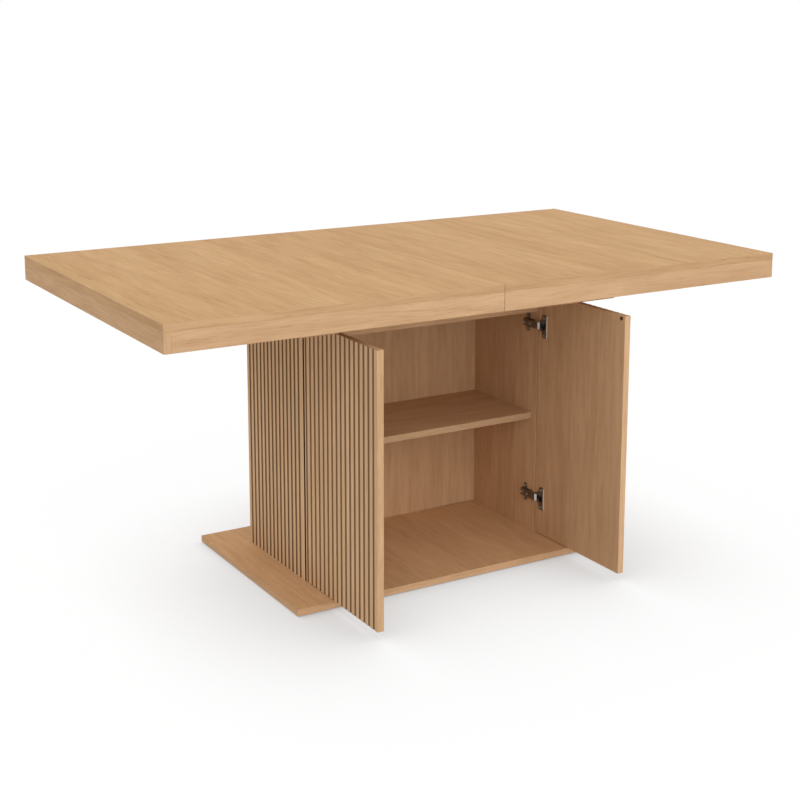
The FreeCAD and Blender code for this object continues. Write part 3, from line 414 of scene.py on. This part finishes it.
def board_grain(tree, coordinates, name, order):
    """Tone and pores of a board. The figure also runs over the ends, where the grain is sawn across."""
    across, depth, along = order
    place = coordinates.outputs["Object"]
    face_place = reordered(tree, place, (across, depth, along))
    end_place = reordered(tree, place, (depth, along, across))
    at_end = facing_axis(tree, coordinates, along)
    picked = mixed(tree, at_end, face_place, end_place, kind="VECTOR")
    moved = vector_calc(tree, "ADD", picked, piece_shift(name))
    grain = node(tree, "ShaderNodeGroup", {"Place": moved}, node_tree=GRAIN)
    return grain.outputs["Tone"], grain.outputs["Pore"]


def wood(name, look, order, grooves=None, band=None, edge_look=None):
    """Board finish. order gives the axes that run across, through and along the grain.

    grooves = (way that the grooved face looks, axis across the grooves, box of the board).
    band = (axis, sign) is the way that an edge looks whose outer half gets painted shade, a dark brown for
    the gap beside the door.
    edge_look is the look of the foil on the edges, where it isn't that of the faces.
    """
    made, tree, shader = new_material(name + "_wood")
    coordinates = node(tree, "ShaderNodeTexCoord")
    tone, pore = board_grain(tree, coordinates, name, order)
    colour = mixed(tree, tone, look["dark"], look["light"])
    if edge_look:
        _, depth, _ = order
        edge_colour = mixed(tree, tone, edge_look["dark"], edge_look["light"])
        colour = mixed(tree, facing_axis(tree, coordinates, depth), edge_colour, colour)
    colour = tinted(tree, colour, look["pore"], pore, PORE_TONE_SHARE)
    colour = tinted(tree, colour, look["light"], edge_mask(tree, BOARD_EDGE_RADIUS), BOARD_WEAR_SHARE)
    if grooves:
        outward, width_axis, box = grooves
        # Painted light: the grooved outer faces get a lighter oak than the rest of the board
        painted_light_slat = mixed(tree, tone, PAINTED_LIGHT_SLAT_OAK["dark"], PAINTED_LIGHT_SLAT_OAK["light"])
        colour = mixed(tree, facing_way(tree, coordinates, outward), colour, painted_light_slat)
        inside = groove_mask(tree, coordinates, outward, width_axis, box)
        colour = tinted(tree, colour, GROOVE_BROWN, inside, GROOVE_TONE_SHARE)
        # Painted shade: dark brown on the outer half of the banded edge, where it lies in the gap beside
        # the door
        if band:
            outer = outer_half_mask(tree, coordinates, outward, box)
            colour = tinted(tree, colour, PAINTED_GAP_SHADE, facing_way(tree, coordinates, band), outer)
    height = calc(tree, "SUBTRACT", calc(tree, "MULTIPLY", tone, FOIL_RELIEF_SHARE), pore)
    wire(tree, shader, colour, height, FOIL_BUMP)
    rough = remap(tree, tone, 0.0, 1.0, *FOIL_ROUGHNESS_SHARES)
    tree.links.new(rough, shader.inputs["Roughness"])
    shader.inputs["Specular IOR Level"].default_value = FOIL_SPECULAR_SHARE
    return made


def fitting_layer(tree, place, name, brushed=None):
    """One layer of a fitting's noise, drawn out along the axis that it is brushed along."""
    step, detail, roughness = FITTING_LAYERS[name]
    steps = [step, step, step]
    if brushed is not None:
        steps[brushed] = BRUSHED_STEPS[name]
    return noise(tree, place, steps, detail, roughness)


def worn(tree, colour, worn_colour, wear):
    """Colour that is worn by a share, and along the edges."""
    shade = mixed(tree, wear, colour, worn_colour)
    return tinted(tree, shade, worn_colour, edge_mask(tree, FITTING_EDGE_RADIUS), FITTING_WEAR_SHARE)


def uneven(tree, value, value_shares, roughness):
    """Roughness that follows a noise, a little below and above its plain value."""
    low_share, high_share = UNEVEN_SHARES
    return remap(tree, value, *value_shares, roughness * low_share, roughness * high_share)


def metal(name, colour, worn_colour, roughness, brushed=None, painted_highlight=None):
    """Plated or uncoated metal with fine scratches; brushed is the axis that the brushing runs along.

    painted_highlight = (reach, colour) paints a highlight onto a stamped sheet: pale matt edges where it
    faces front or back, as far out from the middle of the table as reach.
    """
    made, tree, shader = new_material(name)
    coordinates = node(tree, "ShaderNodeTexCoord")
    place = coordinates.outputs["Object"]
    scratch = fitting_layer(tree, place, "scratch", brushed)
    tarnish = fitting_layer(tree, place, "tarnish", brushed)
    shade = worn(tree, colour, worn_colour, remap(tree, tarnish, *TARNISH_SHARES, 0.0, TARNISH_TONE_SHARE))
    shader.inputs["Metallic"].default_value = METALLIC_SHARE
    # Painted highlight: a pale matt colour on the edges that face front or back, out to the reach
    if painted_highlight:
        reach, highlight_colour = painted_highlight
        outwards = calc(tree, "ABSOLUTE", axis_parts(tree, place)[X])
        within = calc(tree, "LESS_THAN", outwards, reach)
        highlight_mask = calc(tree, "MULTIPLY", facing_axis(tree, coordinates, Y), within)
        shade = mixed(tree, highlight_mask, shade, highlight_colour)
        metallic = remap(tree, highlight_mask, 0.0, 1.0, METALLIC_SHARE, HIGHLIGHT_METALLIC_SHARE)
        tree.links.new(metallic, shader.inputs["Metallic"])
    wire(tree, shader, shade, scratch, METAL_BUMP)
    rough = uneven(tree, calc(tree, "ADD", scratch, tarnish), METAL_UNEVEN_SHARES, roughness)
    tree.links.new(rough, shader.inputs["Roughness"])
    return made


def plastic(name, colour, worn_colour, roughness):
    """Moulded plastic with a fine spark-eroded skin and paler edges."""
    made, tree, shader = new_material(name)
    place = node(tree, "ShaderNodeTexCoord").outputs["Object"]
    skin = fitting_layer(tree, place, "skin")
    scuff = fitting_layer(tree, place, "scuff")
    shade = worn(tree, colour, worn_colour, remap(tree, scuff, *SCUFF_SHARES, 0.0, SCUFF_TONE_SHARE))
    wire(tree, shader, shade, skin, PLASTIC_BUMP)
    rough = uneven(tree, skin, PLASTIC_UNEVEN_SHARES, roughness)
    tree.links.new(rough, shader.inputs["Roughness"])
    return made


def felt(name, colour, fluff_colour):
    """Pressed felt: matted fibres and a soft sheen."""
    made, tree, shader = new_material(name)
    place = node(tree, "ShaderNodeTexCoord").outputs["Object"]
    fibre = fitting_layer(tree, place, "fibre")
    fluff = calc(tree, "MULTIPLY", fibre, fitting_layer(tree, place, "mat"))
    shade = mixed(tree, remap(tree, fluff, *FLUFF_SHARES), colour, fluff_colour)
    wire(tree, shader, shade, fibre, FELT_BUMP)
    shader.inputs["Roughness"].default_value = FELT_ROUGHNESS_SHARE
    shader.inputs["Sheen Weight"].default_value = FELT_SHEEN_SHARE
    return made


# Painted highlights on the hinges' front and back edges: the arm's as far out as the flange of the cup, the
# flange's as far out as the door
ARM_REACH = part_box("right_hinge_cups")[0][X]
FLANGE_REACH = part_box("right_door_panel")[0][X]
ARM_PAINTED_HIGHLIGHT = srgb(246, 244, 240)
FLANGE_PAINTED_HIGHLIGHT = srgb(206, 200, 190)

# Finishes of the fittings: a name, the plain and the worn colour, and the roughness
NICKEL = {"colour": srgb(128, 122, 114), "worn_colour": srgb(154, 148, 140), "roughness": 0.36}
HINGE_NICKEL = metal("hinge_nickel", **NICKEL)
# Arms and cups are the plain nickel with a painted highlight on their front and back edges
ARM_NICKEL_PAINTED_HIGHLIGHT = metal("arm_nickel_painted_highlight", **NICKEL, painted_highlight=(ARM_REACH, ARM_PAINTED_HIGHLIGHT))
CUP_NICKEL_PAINTED_HIGHLIGHT = metal("cup_nickel_painted_highlight", **NICKEL, painted_highlight=(FLANGE_REACH, FLANGE_PAINTED_HIGHLIGHT))
LEAF_HINGE_ZINC = metal("leaf_hinge_zinc", srgb(178, 178, 176), srgb(206, 206, 204), roughness=0.30)
PIN_STEEL = metal("pin_steel", srgb(176, 174, 171), srgb(212, 210, 207), roughness=0.22)
SCREW_ZINC = metal("screw_zinc", srgb(168, 166, 160), srgb(205, 203, 197), roughness=0.36)
SLIDE_ALUMINIUM = metal(
    "slide_aluminium", srgb(148, 149, 151), srgb(176, 177, 178), roughness=0.38, brushed=X
)
GREY_PLASTIC = plastic("grey_plastic", srgb(128, 127, 124), srgb(158, 157, 154), roughness=0.48)
BROWN_PLASTIC = plastic("brown_plastic", srgb(66, 42, 28), srgb(98, 68, 48), roughness=0.45)
GLIDE_PLASTIC = plastic("glide_plastic", srgb(96, 78, 60), srgb(126, 106, 86), roughness=0.52)
GREY_FELT = felt("grey_felt", srgb(104, 102, 98), srgb(150, 147, 142))

# Grain orders of the boards: the axes across, through and along the grain
TOP_ORDER = (X, Z, Y)
SHELF_ORDER = (Y, Z, X)
FRONT_ORDER = (Z, Y, X)
END_ORDER = (Z, X, Y)
SIDE_ORDER = (Y, X, Z)
BACK_ORDER = (X, Y, Z)

# Plain boards of the cabinet: grain order, look of the faces and look of the edges where it differs
CABINET_BOARDS = {
    "base_plate": (TOP_ORDER, BASE_OAK, CABINET_OAK),
    "shelf": (SHELF_ORDER, CABINET_OAK, SHELF_EDGE_OAK),
    "front_rail": (FRONT_ORDER, CABINET_OAK, None),
    "sub_top_plate": (TOP_ORDER, CABINET_OAK, None),
}
TOP_BOARDS = ("leaf_lower_panel", "leaf_upper_panel", "left_top_panel", "right_top_panel")

# Grooved boards: grain order, way that the grooved face looks, axis across the grooves, edge with painted
# gap shade
GROOVED_BOARDS = {
    "left_side_panel": (SIDE_ORDER, (X, -1), Y, (Y, -1)),
    "right_side_panel": (SIDE_ORDER, (X, 1), Y, (Y, -1)),
    "left_door_panel": (SIDE_ORDER, (X, -1), Y, None),
    "right_door_panel": (SIDE_ORDER, (X, 1), Y, None),
    "back_panel": (BACK_ORDER, (Y, 1), X, None),
}
APRON_BOARDS = {}
BEECH_PIECES = {"panel_dowels": SHELF_ORDER, "seam_dowels": SHELF_ORDER}
FITTINGS = {
    "floor_glides": GLIDE_PLASTIC,
    "shelf_supports": PIN_STEEL,
    "base_screws": SCREW_ZINC,
    "top_plate_screws": SCREW_ZINC,
    "hinge_plates": HINGE_NICKEL,
    "hinge_arms": ARM_NICKEL_PAINTED_HIGHLIGHT,
    "hinge_plate_screws": SCREW_ZINC,
    "hinge_arm_screws": SCREW_ZINC,
    "latch_housings": GREY_PLASTIC,
    "front_slide_rail": SLIDE_ALUMINIUM,
    "back_slide_rail": SLIDE_ALUMINIUM,
    "slide_rail_screws": SCREW_ZINC,
    "pinion_pins": PIN_STEEL,
    "front_pinion": GREY_PLASTIC,
    "back_pinion": GREY_PLASTIC,
    "leaf_hinge_plates": LEAF_HINGE_ZINC,
    "leaf_hinge_pins": PIN_STEEL,
    "leaf_pads": GREY_FELT,
}
for side in ("left", "right"):
    APRON_BOARDS[side + "_front_apron"] = FRONT_ORDER
    APRON_BOARDS[side + "_back_apron"] = FRONT_ORDER
    APRON_BOARDS[side + "_end_apron"] = END_ORDER
    BEECH_PIECES[side + "_apron_dowels"] = BACK_ORDER
    BEECH_PIECES[side + "_corner_blocks"] = BACK_ORDER
    FITTINGS[side + "_plunger"] = GREY_PLASTIC
    FITTINGS[side + "_hinge_cups"] = CUP_NICKEL_PAINTED_HIGHLIGHT
    FITTINGS[side + "_hinge_pins"] = HINGE_NICKEL
    FITTINGS[side + "_cup_screws"] = SCREW_ZINC
    FITTINGS[side + "_strike"] = BROWN_PLASTIC
    FITTINGS[side + "_runners"] = SLIDE_ALUMINIUM
    FITTINGS[side + "_racks"] = GREY_PLASTIC
    FITTINGS[side + "_runner_screws"] = SCREW_ZINC


def finish_node(name, material, bevel_width):
    """Gives a CAD node its material and eases its edges."""
    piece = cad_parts[name]
    piece.data.materials.clear()
    piece.data.materials.append(material)
    weld = piece.modifiers.new("weld", "WELD")
    weld.merge_threshold = WELD_REACH
    flat = piece.modifiers.new("flat", "DECIMATE")
    flat.decimate_type = "DISSOLVE"
    flat.angle_limit = FLAT_ANGLE
    bevel = piece.modifiers.new("bevel", "BEVEL")
    bevel.width = bevel_width
    bevel.segments = BEVEL_SEGMENTS
    bevel.limit_method = "ANGLE"
    bevel.angle_limit = BEVEL_ANGLE
    bevel.use_clamp_overlap = False
    bevel.harden_normals = True


for name, (order, look, edge_look) in CABINET_BOARDS.items():
    finish_node(name, wood(name, look, order, edge_look=edge_look), BOARD_BEVEL)
for name in TOP_BOARDS:
    finish_node(name, wood(name, TOP_OAK, TOP_ORDER, edge_look=TOP_EDGE_OAK), BOARD_BEVEL)
for name, order in APRON_BOARDS.items():
    finish_node(name, wood(name, APRON_OAK, order), BOARD_BEVEL)
for name, (order, outward, width_axis, band) in GROOVED_BOARDS.items():
    finish = wood(name, CABINET_OAK, order, grooves=(outward, width_axis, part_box(name)), band=band)
    finish_node(name, finish, GROOVED_BEVEL)
for name, order in BEECH_PIECES.items():
    finish_node(name, wood(name, BEECH, order), FITTING_BEVEL)
for name, finish in FITTINGS.items():
    finish_node(name, finish, FITTING_BEVEL)


def seen_directly(tree):
    """1 for rays that show the backdrop itself: straight, mirrored or through glass."""
    rays = node(tree, "ShaderNodeLightPath").outputs
    mirrored = calc(tree, "MAXIMUM", rays["Is Glossy Ray"], rays["Is Transmission Ray"])
    return calc(tree, "MAXIMUM", rays["Is Camera Ray"], mirrored)


def shown_or_lit(tree, lit, shown):
    """Shader that lights the table with one shader and shows another one to the eye."""
    inputs = {0: seen_directly(tree), 1: lit.outputs[0], 2: shown.outputs[0]}
    return node(tree, "ShaderNodeMixShader", inputs).outputs[0]


def floor_material():
    """White to the eye with the table's shadow on it, and a pale bounce for the light."""
    made = bpy.data.materials.new("studio_floor")
    tree = empty_tree(made)
    bounce = node(tree, "ShaderNodeBsdfDiffuse", {"Color": grey(FLOOR_ALBEDO_SHARE)})
    shadow = node(tree, "ShaderNodeBsdfDiffuse", {"Color": grey(FLOOR_SHADOW_SHARE)})
    contact = node(tree, "ShaderNodeAmbientOcclusion", {"Distance": CONTACT_REACH}, samples=CONTACT_SAMPLES)
    open_share = contact.outputs["AO"]
    hidden_glow = FLOOR_GLOW_SHARE * (1 - CONTACT_SHARE)
    strength = remap(tree, open_share, 0.0, 1.0, hidden_glow, FLOOR_GLOW_SHARE)
    tint = mixed(tree, open_share, (*CONTACT_TINT_SHARES, 1.0), WHITE)
    glow = node(tree, "ShaderNodeEmission", {"Color": tint, "Strength": strength})
    shown = node(tree, "ShaderNodeAddShader", {0: shadow.outputs[0], 1: glow.outputs[0]})
    node(tree, "ShaderNodeOutputMaterial", {"Surface": shown_or_lit(tree, bounce, shown)})
    return made


def lay_floor():
    """Wide pale floor under the table."""
    bpy.ops.mesh.primitive_plane_add(size=FLOOR_SIZE)
    floor = bpy.context.object
    floor.name = "floor"
    floor.data.materials.append(floor_material())


def sky_strength(tree):
    """Light of the sky by direction: low in front and at the right, high at the left and behind."""
    parts = axis_parts(tree, node(tree, "ShaderNodeTexCoord").outputs["Generated"])
    high = calc(tree, "MAXIMUM", parts[Z], 0.0)
    low = calc(tree, "SUBTRACT", 1.0, high)
    right = calc(tree, "MAXIMUM", parts[X], 0.0)
    left = calc(tree, "SUBTRACT", right, parts[X])
    back = calc(tree, "MAXIMUM", parts[Y], 0.0)
    front = calc(tree, "SUBTRACT", back, parts[Y])
    sides = {"left": (left, high), "right": (right, low), "front": (front, low), "back": (back, high)}
    strength = calc(tree, "MULTIPLY", high, SKY_SHARES["up"])
    for name, (facing, height) in sides.items():
        amount = calc(tree, "MULTIPLY", facing, height)
        strength = calc(tree, "MULTIPLY_ADD", amount, SKY_SHARES[name], strength)
    return strength


def make_sky():
    """Soft light from all round, and a white backdrop to the eye."""
    world = bpy.data.worlds.new("studio_sky")
    bpy.context.scene.world = world
    tree = empty_tree(world)
    lit = node(tree, "ShaderNodeBackground", {"Color": WHITE, "Strength": sky_strength(tree)})
    shown = node(tree, "ShaderNodeBackground", {"Color": WHITE, "Strength": BACKDROP_SHARE})
    node(tree, "ShaderNodeOutputWorld", {"Surface": shown_or_lit(tree, lit, shown)})


def hang_keys():
    """Broad soft keys from the front. A sun of strength pi shows a white face that looks at it as white."""
    for name, (share, turn, rise) in KEYS.items():
        data = bpy.data.lights.new(name, "SUN")
        data.energy = share * math.pi
        data.angle = KEY_SPREAD
        key = bpy.data.objects.new(name, data)
        bpy.context.scene.collection.objects.link(key)
        key.rotation_euler = (QUARTER_TURN - rise, 0.0, -turn)


def place_camera():
    """Camera at the photograph's viewing angle."""
    data = bpy.data.cameras.new("camera")
    data.lens = CAMERA_LENS
    data.shift_x, data.shift_y = CAMERA_SHIFT_SHARES
    made = bpy.data.objects.new("camera", data)
    bpy.context.scene.collection.objects.link(made)
    made.location = CAMERA_PLACE
    made.rotation_euler = (QUARTER_TURN - CAMERA_PITCH, 0.0, -CAMERA_YAW)
    bpy.context.scene.camera = made


lay_floor()
make_sky()
hang_keys()
place_camera()
bpy.context.scene.view_settings.view_transform = "Standard"
